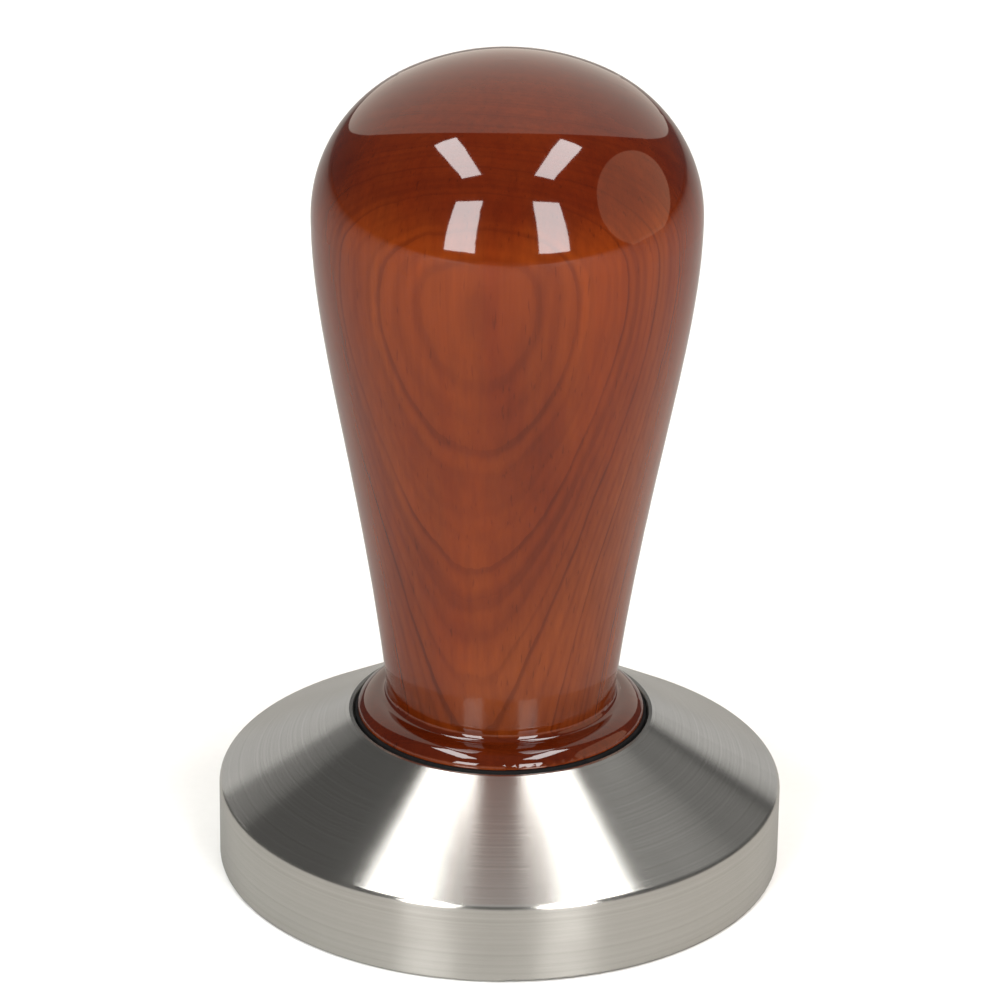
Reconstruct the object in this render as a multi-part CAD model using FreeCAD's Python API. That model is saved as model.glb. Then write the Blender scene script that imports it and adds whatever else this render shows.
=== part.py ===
import FreeCAD, Part

import math
import os

# An espresso tamper for a 58 mm basket, in millimetres. A turned steel piston base carries
# a screwed-in stud, and a turned hardwood handle with a brass threaded insert screws down
# onto that stud over a rubber washer.
# The origin is the centre of the flat tamping face, and +Z runs up the handle's axis.

# ---- steel base ----
BASE_DIAMETER = 58.0
UNDER_EDGE_RADIUS = 0.4        # edge of the tamping face
WALL_TOP = 8.0                 # where the straight piston wall ends
RIM_RADIUS = 0.7               # rounding from the wall into the cone
LIP_HEIGHT = 16.1              # top of the cone
LIP_WIDTH = 0.35               # narrow flat land around the recess
RECESS_DIAMETER = 30.3         # shallow seat for the handle's foot
RECESS_FLOOR = 14.2
RECESS_BREAK = 0.12            # chamfer on the recess's mouth

# ---- rubber washer under the handle ----
WASHER_THICKNESS = 2.05         # stands a little proud of the lip
WASHER_OUTER_DIAMETER = 29.9
WASHER_INNER_DIAMETER = 14.0

# ---- wooden handle ----
FOOT_DIAMETER = 29.4
FOOT_TOP = 18.0
FOOT_BEAD_RADIUS = 2.6         # broad rounding on top of the foot bead
FOOT_EDGE_RADIUS = 0.7         # tighter rounding of its outer edge
FOOT_EDGE_DEGREES = 35.0       # slope at which the one runs into the other
FOOT_UNDER_RADIUS = 0.1
NECK_RADIUS = 11.7             # a hollow cove joins the neck to the foot bead
NECK_FLARE = 0.12              # how fast the neck widens, in mm per mm of height
GRIP_RADIUS = 19.4             # widest part of the grip
GRIP_HEIGHT = 70.2             # height of the widest part
SHOULDER_RADIUS = 15.0
HANDLE_TOP = 86.3
LOWER_PULL = 0.49              # reach of the flank's end tangents, as shares of its height
UPPER_PULL = 0.24

# ---- M8 stud: a hexagon-socket set screw ----
STUD_BOTTOM = 5.25
STUD_LENGTH = 25.0
STUD_CHAMFER = 0.8
SOCKET_FLATS = 4.0
SOCKET_DEPTH = 5.0

# ---- M8 x 1.25 thread, shared by the stud, the base and the insert ----
PITCH = 1.25
NOMINAL_RADIUS = 4.0
FLANK_SLOPE = math.tan(math.radians(30.0))
MALE_CREST_RADIUS = 3.955
MALE_ROOT_RADIUS = 3.28
FEMALE_CREST_RADIUS = 3.37
FEMALE_ROOT_RADIUS = 4.05
FLANK_PLAY = 0.04              # axial play that each thread gives each flank

# ---- brass insert with a coarse outer wood thread ----
INSERT_BOTTOM = 16.5
INSERT_LENGTH = 15.0
INSERT_CORE_RADIUS = 5.25
INSERT_CREST_RADIUS = 6.5
WOOD_PITCH = 3.0
WOOD_CREST_WIDTH = 0.35
WOOD_ROOT_WIDTH = 1.5
WOOD_PLAY = 0.05               # clearance of the cut wood around the insert
SLOT_WIDTH = 2.0               # driver slot across the insert's lower end
SLOT_DEPTH = 2.5
PILOT_RADIUS = 4.5             # pilot hole above the insert
PILOT_TOP = 34.05
DRILL_POINT_SLOPE = math.tan(math.radians(31.0))

RIDGE_ROOT_OVERLAP = 0.2       # how far a thread ridge is sunk into its core


def at(radius, height):
    """A point of a half section, in the XZ plane."""
    return FreeCAD.Vector(radius, 0, height)


def line(start, end):
    return Part.makeLine(at(*start), at(*end))


def arc(centre, radius, start_degrees, end_degrees):
    """An arc of a half section, with angles measured up from the outward direction."""
    angles = (start_degrees, (start_degrees + end_degrees) / 2, end_degrees)
    points = [
        at(
            centre[0] + radius * math.cos(math.radians(a)),
            centre[1] + radius * math.sin(math.radians(a)),
        )
        for a in angles
    ]
    return Part.Arc(*points).toShape()


def turned(edges):
    """The solid that a closed half section sweeps around the Z axis."""
    section = Part.Face(Part.Wire(edges))
    return section.revolve(FreeCAD.Vector(0, 0, 0), FreeCAD.Vector(0, 0, 1), 360)


def cylinder(radius, bottom, top):
    return Part.makeCylinder(radius, top - bottom, at(0, bottom))


def cone(bottom_radius, top_radius, bottom, top):
    return Part.makeCone(bottom_radius, top_radius, top - bottom, at(0, bottom))


def thread(core_radius, crest_radius, width_at, pitch, bottom, top):
    """A threaded rod with one right-hand ridge, cut off square at both ends.

    width_at gives the ridge's axial width at a radius. Every thread of one pitch starts from
    a whole number of pitches above the origin, so that mating threads are in step.
    """
    first = (math.floor(bottom / pitch) - 1) * pitch
    last = (math.ceil(top / pitch) + 1) * pitch
    sunk = core_radius - RIDGE_ROOT_OVERLAP
    half_root = width_at(sunk) / 2
    half_crest = width_at(crest_radius) / 2
    corners = [
        at(sunk, first - half_root),
        at(crest_radius, first - half_crest),
        at(crest_radius, first + half_crest),
        at(sunk, first + half_root),
    ]
    section = Part.makePolygon(corners + corners[:1])
    helix = Part.makeHelix(pitch, last - first, core_radius)
    helix.translate(at(0, first))
    ridge = Part.Wire(helix).makePipeShell([section], True, True)
    rod = cylinder(core_radius, first, last).fuse(ridge)
    return rod.common(cylinder(crest_radius + 1, bottom, top))


def metric_width(play):
    """Ridge width of the M8 thread, narrower or wider by the play on each flank."""
    return lambda radius: PITCH / 8 + 2 * (NOMINAL_RADIUS - radius) * FLANK_SLOPE + 2 * play


def wood_width(play):
    """Ridge width of the coarse wood thread, which tapers evenly from core to crest."""
    taper = (WOOD_ROOT_WIDTH - WOOD_CREST_WIDTH) / (INSERT_CREST_RADIUS - INSERT_CORE_RADIUS)
    return lambda radius: WOOD_CREST_WIDTH + taper * (INSERT_CREST_RADIUS - radius) + 2 * play


def tapped_hole(bottom, top):
    """The space that the M8 tap clears, for cutting from a solid."""
    return thread(
        FEMALE_CREST_RADIUS, FEMALE_ROOT_RADIUS, metric_width(FLANK_PLAY), PITCH, bottom, top
    )


def drill_point(radius, start, direction):
    """The cone that a drill leaves at the end of a hole, pointing up (1) or down (-1)."""
    depth = radius * DRILL_POINT_SLOPE
    if direction > 0:
        return cone(radius, 0, start, start + depth)
    return cone(0, radius, start - depth, start)


def base():
    """The piston: a straight wall, a rounded rim, a cone and a shallow seat for the handle."""
    wall = BASE_DIAMETER / 2
    recess = RECESS_DIAMETER / 2
    lip = recess + RECESS_BREAK + LIP_WIDTH
    # the cone is tangent to the rim's rounding, whose centre is level with the wall's top
    centre = (wall - RIM_RADIUS, WALL_TOP)
    across, up = centre[0] - lip, LIP_HEIGHT - WALL_TOP
    to_lip = math.atan2(up, -across)
    tangent = to_lip - math.acos(RIM_RADIUS / math.hypot(across, up))
    rim_end = (
        centre[0] + RIM_RADIUS * math.cos(tangent),
        centre[1] + RIM_RADIUS * math.sin(tangent),
    )
    blank = turned([
        line((0, 0), (wall - UNDER_EDGE_RADIUS, 0)),
        arc((wall - UNDER_EDGE_RADIUS, UNDER_EDGE_RADIUS), UNDER_EDGE_RADIUS, -90, 0),
        line((wall, UNDER_EDGE_RADIUS), (wall, WALL_TOP)),
        arc(centre, RIM_RADIUS, 0, math.degrees(tangent)),
        line(rim_end, (lip, LIP_HEIGHT)),
        line((lip, LIP_HEIGHT), (recess + RECESS_BREAK, LIP_HEIGHT)),
        line((recess + RECESS_BREAK, LIP_HEIGHT), (recess, LIP_HEIGHT - RECESS_BREAK)),
        line((recess, LIP_HEIGHT - RECESS_BREAK), (recess, RECESS_FLOOR)),
        line((recess, RECESS_FLOOR), (0, RECESS_FLOOR)),
        line((0, RECESS_FLOOR), (0, 0)),
    ])
    mouth = RECESS_FLOOR - (FEMALE_ROOT_RADIUS - FEMALE_CREST_RADIUS)
    countersink = cone(FEMALE_CREST_RADIUS, FEMALE_ROOT_RADIUS + 0.1, mouth, RECESS_FLOOR)
    hole = tapped_hole(STUD_BOTTOM, RECESS_FLOOR)
    point = drill_point(FEMALE_CREST_RADIUS, STUD_BOTTOM, -1)
    return blank.cut(hole).cut(point).cut(countersink)


def stud():
    """The set screw: chamfered at both ends, with its hexagon socket at the top."""
    top = STUD_BOTTOM + STUD_LENGTH
    crest = MALE_CREST_RADIUS
    rod = thread(
        MALE_ROOT_RADIUS, crest, metric_width(-FLANK_PLAY), PITCH, STUD_BOTTOM, top
    )
    # the chamfers run out past the crest, so that only they trim the thread
    end, run = crest - STUD_CHAMFER, STUD_CHAMFER + 1
    envelope = turned([
        line((0, STUD_BOTTOM), (end, STUD_BOTTOM)),
        line((end, STUD_BOTTOM), (end + run, STUD_BOTTOM + run)),
        line((end + run, STUD_BOTTOM + run), (end + run, top - run)),
        line((end + run, top - run), (end, top)),
        line((end, top), (0, top)),
        line((0, top), (0, STUD_BOTTOM)),
    ])
    corner_radius = SOCKET_FLATS / 2 / math.cos(math.radians(30.0))
    corners = [
        FreeCAD.Vector(
            corner_radius * math.cos(math.radians(60.0 * i)),
            corner_radius * math.sin(math.radians(60.0 * i)),
            top - SOCKET_DEPTH,
        )
        for i in range(6)
    ]
    hexagon = Part.Face(Part.makePolygon(corners + corners[:1]))
    socket = hexagon.extrude(FreeCAD.Vector(0, 0, SOCKET_DEPTH + 1))
    point = drill_point(SOCKET_FLATS / 2, top - SOCKET_DEPTH, -1)
    return rod.common(envelope).cut(socket).cut(point)


def foot_washer():
    """The rubber ring that the wooden foot is screwed down onto."""
    top = RECESS_FLOOR + WASHER_THICKNESS
    ring = cylinder(WASHER_OUTER_DIAMETER / 2, RECESS_FLOOR, top)
    return ring.cut(cylinder(WASHER_INNER_DIAMETER / 2, RECESS_FLOOR - 1, top + 1))


def insert_cavity():
    """The pilot hole in the wood, with the coarse thread that the insert cuts."""
    underside = RECESS_FLOOR + WASHER_THICKNESS
    insert_top = INSERT_BOTTOM + INSERT_LENGTH
    cut_thread = thread(
        INSERT_CORE_RADIUS + WOOD_PLAY,
        INSERT_CREST_RADIUS + WOOD_PLAY,
        wood_width(WOOD_PLAY),
        WOOD_PITCH,
        underside - 1,
        insert_top,
    )
    pilot = cylinder(PILOT_RADIUS, insert_top - 1, PILOT_TOP)
    return cut_thread.fuse(pilot).fuse(drill_point(PILOT_RADIUS, PILOT_TOP, 1))


def handle():
    """The pear-shaped grip, turned from one piece of wood with a bead at its foot."""
    underside = RECESS_FLOOR + WASHER_THICKNESS
    foot = FOOT_DIAMETER / 2
    # the bead's two arcs are tangent where one runs into the other
    slope = math.radians(FOOT_EDGE_DEGREES)
    apart = FOOT_BEAD_RADIUS - FOOT_EDGE_RADIUS
    inward = foot - FOOT_EDGE_RADIUS - apart * math.cos(slope)
    bead = (inward, FOOT_TOP - FOOT_BEAD_RADIUS)
    edge = (foot - FOOT_EDGE_RADIUS, bead[1] + apart * math.sin(slope))
    cove_radius = bead[0] - NECK_RADIUS
    neck_bottom = FOOT_TOP + cove_radius

    flank_height = GRIP_HEIGHT - neck_bottom
    lower = LOWER_PULL * flank_height
    upper = UPPER_PULL * flank_height
    flank = Part.BezierCurve()
    flank.setPoles([
        at(NECK_RADIUS, neck_bottom),
        at(NECK_RADIUS + NECK_FLARE * lower, neck_bottom + lower),
        at(GRIP_RADIUS, GRIP_HEIGHT - upper),
        at(GRIP_RADIUS, GRIP_HEIGHT),
    ])

    # the crown is centred on the axis and tangent to the shoulder
    inset = GRIP_RADIUS - SHOULDER_RADIUS
    rise = HANDLE_TOP - GRIP_HEIGHT
    crown_radius = (inset**2 + rise**2 - SHOULDER_RADIUS**2) / (2 * (rise - SHOULDER_RADIUS))
    crown = (0, HANDLE_TOP - crown_radius)
    meeting = math.degrees(math.atan2(GRIP_HEIGHT - crown[1], inset))

    solid = turned([
        line((0, underside), (foot - FOOT_UNDER_RADIUS, underside)),
        arc(
            (foot - FOOT_UNDER_RADIUS, underside + FOOT_UNDER_RADIUS), FOOT_UNDER_RADIUS, -90, 0
        ),
        line((foot, underside + FOOT_UNDER_RADIUS), (foot, edge[1])),
        arc(edge, FOOT_EDGE_RADIUS, 0, FOOT_EDGE_DEGREES),
        arc(bead, FOOT_BEAD_RADIUS, FOOT_EDGE_DEGREES, 90),
        arc((bead[0], neck_bottom), cove_radius, 270, 180),
        flank.toShape(),
        arc((inset, GRIP_HEIGHT), SHOULDER_RADIUS, 0, meeting),
        arc(crown, crown_radius, meeting, 90),
        line((0, HANDLE_TOP), (0, underside)),
    ])
    return solid.cut(insert_cavity())


def threaded_insert():
    """The brass bush: coarse thread outside, M8 inside, driver slot across its lower end."""
    top = INSERT_BOTTOM + INSERT_LENGTH
    bush = thread(
        INSERT_CORE_RADIUS, INSERT_CREST_RADIUS, wood_width(0), WOOD_PITCH, INSERT_BOTTOM, top
    )
    slot_length = 2 * INSERT_CREST_RADIUS + 2
    slot = Part.makeBox(
        SLOT_WIDTH,
        slot_length,
        SLOT_DEPTH + 1,
        FreeCAD.Vector(-SLOT_WIDTH / 2, -slot_length / 2, INSERT_BOTTOM - 1),
    )
    return bush.cut(tapped_hole(INSERT_BOTTOM - 1, top + 1)).cut(slot)


PIECES = {
    "base": base,
    "stud": stud,
    "foot_washer": foot_washer,
    "handle": handle,
    "threaded_insert": threaded_insert,
}

os.makedirs("parts", exist_ok=True)
for name, make in PIECES.items():
    make().exportStep(f"parts/{name}.step")
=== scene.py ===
import math

import bpy
from mathutils import Matrix, Vector


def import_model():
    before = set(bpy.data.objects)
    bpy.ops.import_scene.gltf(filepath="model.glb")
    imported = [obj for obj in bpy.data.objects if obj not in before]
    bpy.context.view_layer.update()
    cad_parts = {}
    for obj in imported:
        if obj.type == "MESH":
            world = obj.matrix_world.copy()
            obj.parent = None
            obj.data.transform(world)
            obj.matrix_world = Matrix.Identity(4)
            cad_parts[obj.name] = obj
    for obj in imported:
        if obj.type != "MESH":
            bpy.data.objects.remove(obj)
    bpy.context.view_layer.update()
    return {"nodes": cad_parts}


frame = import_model()
scene = bpy.context.scene

MM = 0.001
NORMAL_COORDINATES, OBJECT_COORDINATES = 1, 3  # outputs of the Texture Coordinate node
Z_AXIS = 2  # output of the Separate XYZ node

# ---------------------------------------------------------------- node helpers


class Nodes:
    """A short way to build a material's node tree: every call returns an output socket."""

    def __init__(self, name):
        self.material = bpy.data.materials.new(name)
        self.material.use_nodes = True
        self.tree = self.material.node_tree
        self.tree.nodes.clear()

    def _put(self, socket, value):
        if isinstance(value, bpy.types.NodeSocket):
            self.tree.links.new(value, socket)
        elif value is not None:
            socket.default_value = value

    def add(self, kind, output=0, settings=None, **inputs):
        """Adds a node, with settings as attributes and inputs by socket name or in1, in2, ..."""
        node = self.tree.nodes.new(kind)
        for key, value in (settings or {}).items():
            setattr(node, key, value)
        for key, value in inputs.items():
            place = int(key[2:]) if key[:2] == "in" and key[2:].isdigit() else key.replace("_", " ")
            self._put(node.inputs[place], value)
        return node.outputs[output]

    def place(self):
        """Where a point lies on its own piece, in metres."""
        return self.add("ShaderNodeTexCoord", OBJECT_COORDINATES)

    def math(self, operation, a, b=None, c=None):
        return self.add("ShaderNodeMath", settings={"operation": operation}, in0=a, in1=b, in2=c)

    def vector(self, operation, a, b=None, scale=None):
        settings = {"operation": operation}
        output = 1 if operation in ("LENGTH", "DOT_PRODUCT") else 0
        inputs = {"in0": a, "in1": b}
        if scale is not None:
            inputs["Scale"] = scale
        return self.add("ShaderNodeVectorMath", output, settings, **inputs)

    def noise(self, coordinate, scale, detail=2.0, roughness=0.5, dimensions="3D"):
        settings = {"noise_dimensions": dimensions}
        inputs = {"Scale": scale, "Detail": detail, "Roughness": roughness}
        inputs["W" if dimensions == "1D" else "Vector"] = coordinate
        return self.add("ShaderNodeTexNoise", 0, settings, **inputs)

    def remap(self, value, from_low, from_high, to_low=0.0, to_high=1.0, smooth=False):
        settings = {"interpolation_type": "SMOOTHSTEP" if smooth else "LINEAR", "clamp": True}
        return self.add(
            "ShaderNodeMapRange", 0, settings, in0=value, in1=from_low, in2=from_high,
            in3=to_low, in4=to_high,
        )

    def mix(self, factor, a, b, blend="MIX"):
        node = self.tree.nodes.new("ShaderNodeMix")
        node.data_type = "RGBA"
        node.blend_type = blend
        self._put(node.inputs[0], factor)
        for socket, value in ((node.inputs[6], a), (node.inputs[7], b)):
            if isinstance(value, tuple):
                value = (*value, 1.0)[:4]
            self._put(socket, value)
        return node.outputs[2]

    def curve(self, value, points):
        """A smooth curve through points from (0, y) to (1, y)."""
        node = self.tree.nodes.new("ShaderNodeFloatCurve")
        curve = node.mapping.curves[0]
        curve.points[0].location = points[0]
        curve.points[1].location = points[-1]
        for point in points[1:-1]:
            curve.points.new(*point)
        node.mapping.update()
        self._put(node.inputs["Value"], value)
        return node.outputs[0]

    def bump(self, height, distance, strength=1.0):
        return self.add("ShaderNodeBump", Height=height, Distance=distance, Strength=strength)

    def finish(self, fixed, linked):
        """The Principled shader: fixed numbers sit on its own sockets."""
        shader = self.tree.nodes.new("ShaderNodeBsdfPrincipled")
        for name, value in fixed.items():
            shader.inputs[name].default_value = value
        for name, socket in linked.items():
            self.tree.links.new(socket, shader.inputs[name])
        output = self.tree.nodes.new("ShaderNodeOutputMaterial")
        self.tree.links.new(shader.outputs[0], output.inputs[0])
        return self.material


# ---------------------------------------------------------------- wood

# Growth rings are cylinders about a pith that runs along the back of the grip, leaning slightly.
PITH_POINT = (4.2 * MM, 19.2 * MM, 45.0 * MM)
PITH_DIRECTION = Vector((-0.044, -0.047, 1.0)).normalized()
RING_SPACING = 0.44 * MM
RING_PHASE = 0.12
HARD_YEARS = (4.0, 2.0)  # of every four rings, the one numbered two is dark

# the wood's own colours, from the body of a ring to the pores, with one paler colour among them that
# is painted reflected light
RING_RED = (0.222, 0.034, 0.0026)
RING_BROWN = (0.155, 0.018, 0.0010)
STREAK = (0.250, 0.050, 0.0050)
PAINTED_REFLECTION_PALE = (0.330, 0.085, 0.0140)
# painted reflected light: a paler colour, not the wood's own, laid low on the right of the handle
LATE_WOOD = (0.055, 0.0050, 0.0006)
FIBRE = (0.080, 0.010, 0.0010)
PORE = (0.030, 0.004, 0.0008)

# tints that darken it where it shows end grain, in slow patches, and towards the foot
END_GRAIN_TINT = (0.45, 0.32, 0.35)
CLOUD_TINT = (0.55, 0.42, 0.50)
FIGURE_TINT = (0.60, 0.42, 0.45)
FOOT_TINT = (0.50, 0.38, 0.40)
NECK_HEIGHT = 27.0 * MM
FOOT_HEIGHT = 17.5 * MM

# fibres and pores are many times longer than wide, rings' wanderings a few times
ALONG_GRAIN = (1.0, 1.0, 0.3)
ALONG_FIBRES = (1.0, 1.0, 0.045)
ALONG_PORES = (1.0, 1.0, 0.09)


def wood_material():
    n = Nodes("lacquered_wood")
    place = n.place()
    along_grain = n.vector("MULTIPLY", place, ALONG_GRAIN)

    # distance from the pith, with a slow wander and a finer shiver
    relative = n.vector("SUBTRACT", place, PITH_POINT)
    along = n.vector("DOT_PRODUCT", relative, tuple(PITH_DIRECTION))
    axis_part = n.vector("SCALE", tuple(PITH_DIRECTION), scale=along)
    distance = n.vector("LENGTH", n.vector("SUBTRACT", relative, axis_part))
    wander = n.math("SUBTRACT", n.noise(along_grain, 45.0, 1.0), 0.5)
    shiver = n.math("SUBTRACT", n.noise(along_grain, 300.0, 3.0), 0.5)
    distance = n.math("ADD", distance, n.math("MULTIPLY", wander, 0.9 * MM))
    distance = n.math("ADD", distance, n.math("MULTIPLY", shiver, 0.30 * MM))
    rings = n.math("ADD", n.math("DIVIDE", distance, RING_SPACING), RING_PHASE)
    uneven = n.noise(rings, 0.9, 1.0, 0.5, "1D")
    rings = n.math("ADD", rings, n.math("MULTIPLY", uneven, 0.5))

    # each ring darkens slowly and ends in a soft late-wood line, strong in some years only
    year = n.math("FLOOR", rings)
    season = n.math("FRACT", rings)
    darkening = [(0.0, 0.75), (0.2, 0.25), (0.45, 0.08), (0.7, 0.45), (0.88, 1.0), (1.0, 0.75)]
    late = n.curve(season, darkening)
    strength = n.add("ShaderNodeTexWhiteNoise", 0, {"noise_dimensions": "1D"}, W=year)
    broken = n.remap(n.noise(along_grain, 160.0, 2.0), 0.3, 0.7, 0.45, 1.0)
    hard_year = n.math("COMPARE", n.math("MODULO", year, HARD_YEARS[0]), HARD_YEARS[1], 0.1)
    strength = n.math("ADD", n.math("MULTIPLY", strength, 0.40), n.math("MULTIPLY", hard_year, 0.38))
    late = n.math("MULTIPLY", late, n.math("ADD", strength, 0.12))
    late = n.math("MULTIPLY", late, broken)

    # end grain shows where the surface faces up or down the fibres
    normal = n.add("ShaderNodeTexCoord", NORMAL_COORDINATES)
    facing = n.add("ShaderNodeSeparateXYZ", Z_AXIS, Vector=normal)
    end_grain = n.remap(n.math("ABSOLUTE", facing), 0.03, 0.50, smooth=True)
    late = n.math("MULTIPLY", late, n.remap(end_grain, 0.0, 1.0, 1.0, 0.35))

    # fibres and short open pores, both drawn out along the grain
    stretched = n.vector("MULTIPLY", place, ALONG_FIBRES)
    fibres = n.noise(stretched, 1500.0, 4.0, 0.6)
    streaks = n.noise(stretched, 300.0, 2.0, 0.5)
    pore_place = n.vector("MULTIPLY", place, ALONG_PORES)
    pores = n.remap(n.noise(pore_place, 3300.0, 1.0), 0.66, 0.76, smooth=True)
    patches = n.noise(along_grain, 48.0, 2.0)

    colour = n.mix(n.remap(patches, 0.38, 0.62), RING_RED, RING_BROWN)
    colour = n.mix(n.remap(streaks, 0.3, 0.7, 0.0, 0.5), colour, STREAK)
    # painted reflected light: the colour turns paler low down on its right, standing in for light
    # reflected onto the wood there
    lower_right = n.vector("DOT_PRODUCT", place, (0.8, 0.0, -0.5))
    painted_reflection_mask = n.remap(lower_right, -21 * MM, -9 * MM, smooth=True)
    colour = n.mix(n.math("MULTIPLY", painted_reflection_mask, 0.45), colour, PAINTED_REFLECTION_PALE)
    colour = n.mix(n.math("MULTIPLY", late, 0.80), colour, LATE_WOOD)
    colour = n.mix(n.remap(fibres, 0.35, 0.68, 0.0, 0.28), colour, FIBRE)
    colour = n.mix(n.math("MULTIPLY", pores, 0.30), colour, PORE)

    # broad bands of rings, end grain, the foot and slow patches are darker
    figure = n.remap(n.noise(rings, 0.55, 2.0, 0.6, "1D"), 0.3, 0.7)
    colour = n.mix(n.math("MULTIPLY", figure, 0.25), colour, FIGURE_TINT, "MULTIPLY")
    colour = n.mix(end_grain, colour, END_GRAIN_TINT, "MULTIPLY")
    height = n.add("ShaderNodeSeparateXYZ", Z_AXIS, Vector=place)
    foot = n.remap(height, NECK_HEIGHT, FOOT_HEIGHT, smooth=True)
    colour = n.mix(n.math("MULTIPLY", foot, 0.7), colour, FOOT_TINT, "MULTIPLY")
    clouds = n.remap(n.noise(along_grain, 85.0, 3.0, 0.6), 0.35, 0.65, smooth=True)
    colour = n.mix(n.math("MULTIPLY", clouds, 0.28), colour, CLOUD_TINT, "MULTIPLY")

    grain_bump = n.bump(fibres, 0.02 * MM, 0.35)
    lacquer_bump = n.bump(n.noise(place, 260.0, 1.0), 0.004 * MM, 0.5)
    fixed = {
        "Specular IOR Level": 0.0,
        "Coat Weight": 1.0,
        "Coat Roughness": 0.045,
        "Coat IOR": 1.5,
    }
    linked = {
        "Base Color": colour,
        "Roughness": n.remap(fibres, 0.2, 0.8, 0.42, 0.62),
        "Normal": grain_bump,
        "Coat Normal": lacquer_bump,
    }
    return n.finish(fixed, linked)


# ---------------------------------------------------------------- metals and rubber


STEEL_DARK = (0.60, 0.58, 0.535)
STEEL_PALE = (0.70, 0.68, 0.635)
RUBBER_BLACK = (0.006, 0.006, 0.006)
RUBBER_DUST = (0.020, 0.018, 0.017)


def turned_steel_material():
    """Stainless steel finished on a lathe: fine circular marks that spread light across them."""
    n = Nodes("turned_steel")
    place = n.place()
    x, y, z = n.add("ShaderNodeSeparateXYZ", Vector=place).node.outputs
    radius = n.math("SQRT", n.math("ADD", n.math("MULTIPLY", x, x), n.math("MULTIPLY", y, y)))
    # falls steadily along the whole section, from the lip over the rim and down the wall
    section = n.math("SUBTRACT", z, radius)
    coarse = n.noise(section, 2600.0, 2.0, 0.6, "1D")
    fine = n.noise(section, 14000.0, 3.0, 0.7, "1D")
    marks = n.math("ADD", n.math("MULTIPLY", coarse, 0.6), n.math("MULTIPLY", fine, 0.4))
    smudges = n.noise(place, 120.0, 3.0, 0.6)
    tangent = n.add("ShaderNodeTangent", 0, {"direction_type": "RADIAL", "axis": "Z"})
    colour = n.mix(n.remap(marks, 0.3, 0.7), STEEL_DARK, STEEL_PALE)
    fixed = {"Metallic": 1.0, "Anisotropic": 0.95, "Anisotropic Rotation": 0.25}
    linked = {
        "Base Color": colour,
        "Roughness": n.remap(smudges, 0.3, 0.7, 0.20, 0.25),
        "Normal": n.bump(marks, 0.006 * MM, 0.5),
        "Tangent": tangent,
    }
    return n.finish(fixed, linked)


def rubber_material():
    """Dull black rubber with a fine grain and a little dust."""
    n = Nodes("washer_rubber")
    place = n.place()
    grain = n.noise(place, 2500.0, 3.0, 0.6)
    dust = n.remap(n.noise(place, 300.0, 3.0), 0.55, 0.8)
    colour = n.mix(dust, RUBBER_BLACK, RUBBER_DUST)
    linked = {
        "Base Color": colour,
        "Roughness": n.remap(grain, 0.2, 0.8, 0.55, 0.8),
        "Normal": n.bump(grain, 0.01 * MM, 0.5),
    }
    return n.finish({"Specular IOR Level": 0.2}, linked)


def machined_material(name, pale, dark, roughness):
    """A small machined part: faint tool marks and a slightly uneven colour."""
    n = Nodes(name)
    place = n.place()
    marks = n.noise(n.vector("MULTIPLY", place, (0.2, 0.2, 1.0)), 9000.0, 2.0)
    stain = n.noise(place, 350.0, 3.0, 0.6)
    linked = {
        "Base Color": n.mix(n.remap(stain, 0.3, 0.7), pale, dark),
        "Roughness": n.remap(marks, 0.2, 0.8, roughness - 0.06, roughness + 0.08),
        "Normal": n.bump(marks, 0.004 * MM, 0.4),
    }
    return n.finish({"Metallic": 1.0}, linked)


STUD_STEEL = ((0.50, 0.49, 0.47), (0.38, 0.37, 0.35), 0.30)
INSERT_BRASS = ((0.76, 0.52, 0.20), (0.60, 0.38, 0.13), 0.27)
MATERIALS = {
    "base": turned_steel_material(),
    "handle": wood_material(),
    "foot_washer": rubber_material(),
    "stud": machined_material("stud_steel", *STUD_STEEL),
    "threaded_insert": machined_material("insert_brass", *INSERT_BRASS),
}
for node_name, material in MATERIALS.items():
    for material_slot in frame["nodes"][node_name].material_slots:
        material_slot.material = material


# ---------------------------------------------------------------- floor, light and camera


# The paper is exposed to near white, yet it lights the object like a mid grey.
PAPER = (0.86, 0.86, 0.85)
PAPER_PALE = (0.89, 0.89, 0.88)
BOUNCED = (0.385, 0.385, 0.375)
FLOOR_REACH = 3.0


def floor():
    mesh = bpy.data.meshes.new("floor")
    reach = FLOOR_REACH
    corners = [(-reach, -reach, 0), (reach, -reach, 0), (reach, reach, 0), (-reach, reach, 0)]
    mesh.from_pydata(corners, [], [(0, 1, 2, 3)])
    thing = bpy.data.objects.new("floor", mesh)
    scene.collection.objects.link(thing)
    n = Nodes("floor_paper")
    place = n.place()
    tooth = n.noise(place, 900.0, 2.0)
    seen_by_camera = n.add("ShaderNodeLightPath")
    linked = {
        "Base Color": n.mix(seen_by_camera, BOUNCED, n.mix(tooth, PAPER, PAPER_PALE)),
        "Normal": n.bump(tooth, 0.02 * MM, 0.3),
    }
    mesh.materials.append(n.finish({"Roughness": 0.9, "Specular IOR Level": 0.1}, linked))


def panel(name, centre, facing, across, width, height, radiance, shape="RECTANGLE"):
    """A soft light, width along the direction across, of a given brightness."""
    data = bpy.data.lights.new(name, "AREA")
    data.shape = shape
    data.size, data.size_y = width, height
    area = width * height * (math.pi / 4 if shape == "ELLIPSE" else 1)
    data.energy = radiance * math.pi * area
    thing = bpy.data.objects.new(name, data)
    back = -Vector(facing).normalized()
    right = Vector(across).normalized()
    up = back.cross(right)
    rotation = Matrix((right, up, back)).transposed().to_4x4()
    thing.matrix_world = Matrix.Translation(Vector(centre)) @ rotation
    thing.visible_camera = False
    scene.collection.objects.link(thing)
    return thing


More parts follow.
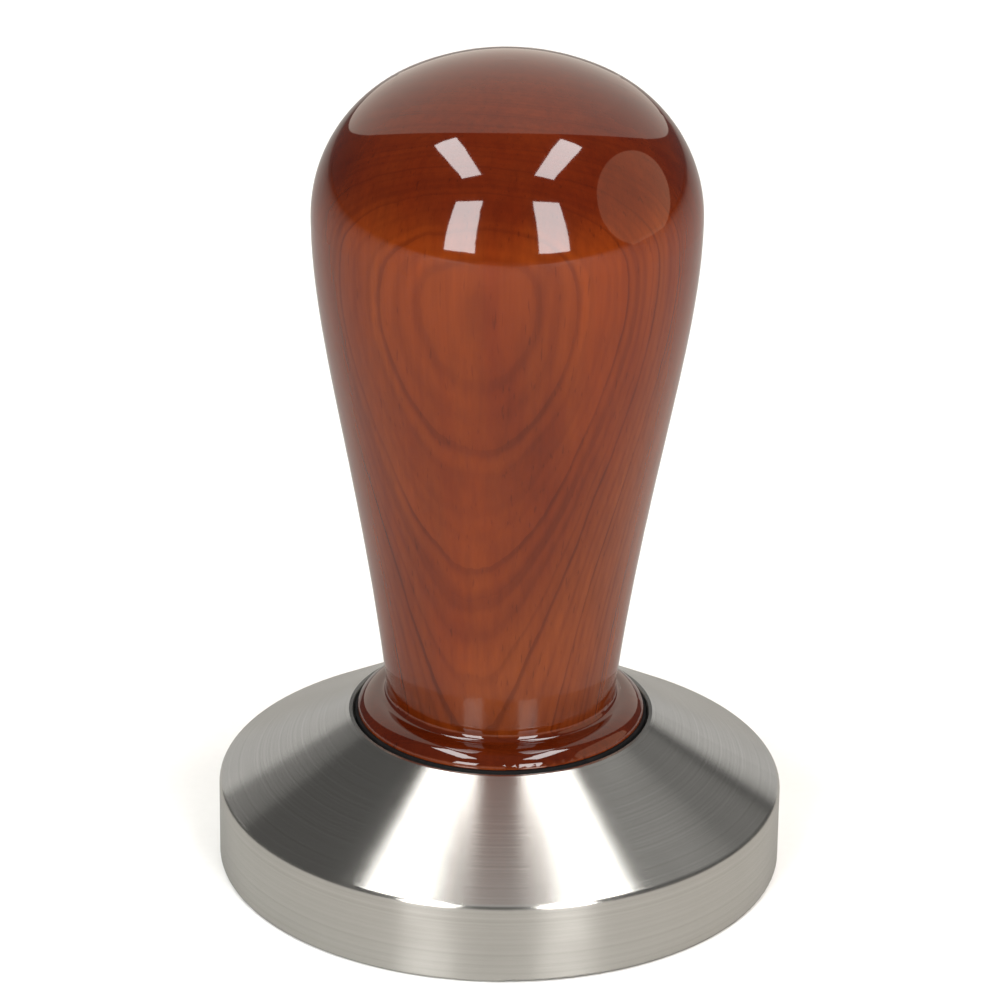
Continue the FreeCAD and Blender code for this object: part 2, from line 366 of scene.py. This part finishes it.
DOWN, AWAY, NEARER, LEFTWARD, ACROSS = (0, 0, -1), (0, 1, 0), (0, -1, 0), (-1, 0, 0), (1, 0, 0)
CEILING = 0.80
FRONT = -0.80
WINDOW_RADIANCE = 11.5
CEILING_WINDOW = (0.17, 0.47)
FRONT_WINDOW = (0.33, 0.70)
CEILING_TURN = math.radians(10.0)
SWEEP_COLOUR = (1.0, 0.94, 0.82)
REFLECTOR_COLOUR = (1.0, 0.60, 0.40)

# grey cards under the ceiling: centre, size and radiance
CARDS = {
    "middle": ((0, 0.1), (0.42, 1.5), 0.38),
    "right": ((0.50, 0.30), (0.26, 0.8), 0.30),
    "far_right": ((0.88, 0.75), (0.46, 1.3), 0.17),
    "far_left": ((-1.25, 1.60), (0.55, 1.3), 0.32),
}


def lit_only(light, names):
    """Lets a light fall on the named nodes and the floor alone."""
    group = bpy.data.collections.new(light.name + "_falls_on")
    for name in names:
        group.objects.link(frame["nodes"][name])
    group.objects.link(bpy.data.objects["floor"])
    light.light_linking.receiver_collection = group


def lights():
    for side, name in ((-1, "left"), (1, "right")):
        # the ceiling's windows converge a little towards the camera
        across = (math.cos(CEILING_TURN), -side * math.sin(CEILING_TURN), 0)
        overhead = (side * 0.318, -0.165, CEILING)
        panel(f"ceiling_{name}", overhead, DOWN, across, *CEILING_WINDOW, WINDOW_RADIANCE)
        ahead = (side * 0.425, FRONT, 0.46)
        panel(f"front_{name}", ahead, AWAY, ACROSS, *FRONT_WINDOW, WINDOW_RADIANCE)

    # a tall pale sweep behind and a warm round reflector, for the lacquered handle alone
    sweep = panel("sweep", (0, 1.0, 3.68), NEARER, ACROSS, 3.8, 7.4, 0.95, "ELLIPSE")
    sweep.data.color = SWEEP_COLOUR
    lit_only(sweep, ["handle"])
    reflector = panel("reflector", (0.9, -0.02, 0.45), LEFTWARD, AWAY, 1.04, 0.98, 1.2, "ELLIPSE")
    reflector.data.color = REFLECTOR_COLOUR
    lit_only(reflector, ["handle"])

    # a backdrop and cards for the steel, with gaps that leave its flanks dark
    metals = [name for name in frame["nodes"] if name != "handle"]
    lit_only(panel("backdrop", (0, 2.9, 0.6), NEARER, ACROSS, 4.4, 1.2, 0.48), metals)
    for name, ((x, y), (width, length), radiance) in CARDS.items():
        card = panel(f"card_{name}", (x, y, CEILING), DOWN, ACROSS, width, length, radiance)
        lit_only(card, metals)


ROOM = (0.10, 0.10, 0.10, 1)
SEEN = (0.95, 0.95, 0.95, 1)


def world():
    """Pale to the camera, dim as a room that lights the object."""
    scene.world = bpy.data.worlds.new("studio")
    scene.world.use_nodes = True
    tree = scene.world.node_tree
    tree.nodes.clear()
    rays = tree.nodes.new("ShaderNodeLightPath")
    room = tree.nodes.new("ShaderNodeBackground")
    room.inputs[0].default_value = ROOM
    seen = tree.nodes.new("ShaderNodeBackground")
    seen.inputs[0].default_value = SEEN
    either = tree.nodes.new("ShaderNodeMixShader")
    output = tree.nodes.new("ShaderNodeOutputWorld")
    tree.links.new(rays.outputs["Is Camera Ray"], either.inputs[0])
    tree.links.new(room.outputs[0], either.inputs[1])
    tree.links.new(seen.outputs[0], either.inputs[2])
    tree.links.new(either.outputs[0], output.inputs[0])


CAMERA_ELEVATION = math.radians(23.77)
CAMERA_ROLL = math.radians(0.763)
CAMERA_DISTANCE = 0.5
CAMERA_AIM = Vector((-0.35 * MM, 0, 39.46 * MM))
LENS = 178.05
SENSOR = 36.0


def camera():
    """Looks down at the tamper from in front, from half a metre, with a very slight roll."""
    elevation, roll = CAMERA_ELEVATION, CAMERA_ROLL
    forward = Vector((0, math.cos(elevation), -math.sin(elevation)))
    level = Vector((1, 0, 0))
    upright = level.cross(forward)
    right = level * math.cos(roll) + upright * math.sin(roll)
    up = upright * math.cos(roll) - level * math.sin(roll)
    data = bpy.data.cameras.new("camera")
    data.lens = LENS
    data.sensor_width = SENSOR
    data.clip_start = 0.01
    data.clip_end = 20.0
    thing = bpy.data.objects.new("camera", data)
    rotation = Matrix((right, up, -forward)).transposed().to_4x4()
    thing.matrix_world = Matrix.Translation(CAMERA_AIM - forward * CAMERA_DISTANCE) @ rotation
    scene.collection.objects.link(thing)
    scene.camera = thing


floor()
lights()
world()
camera()
scene.view_settings.view_transform = "Standard"
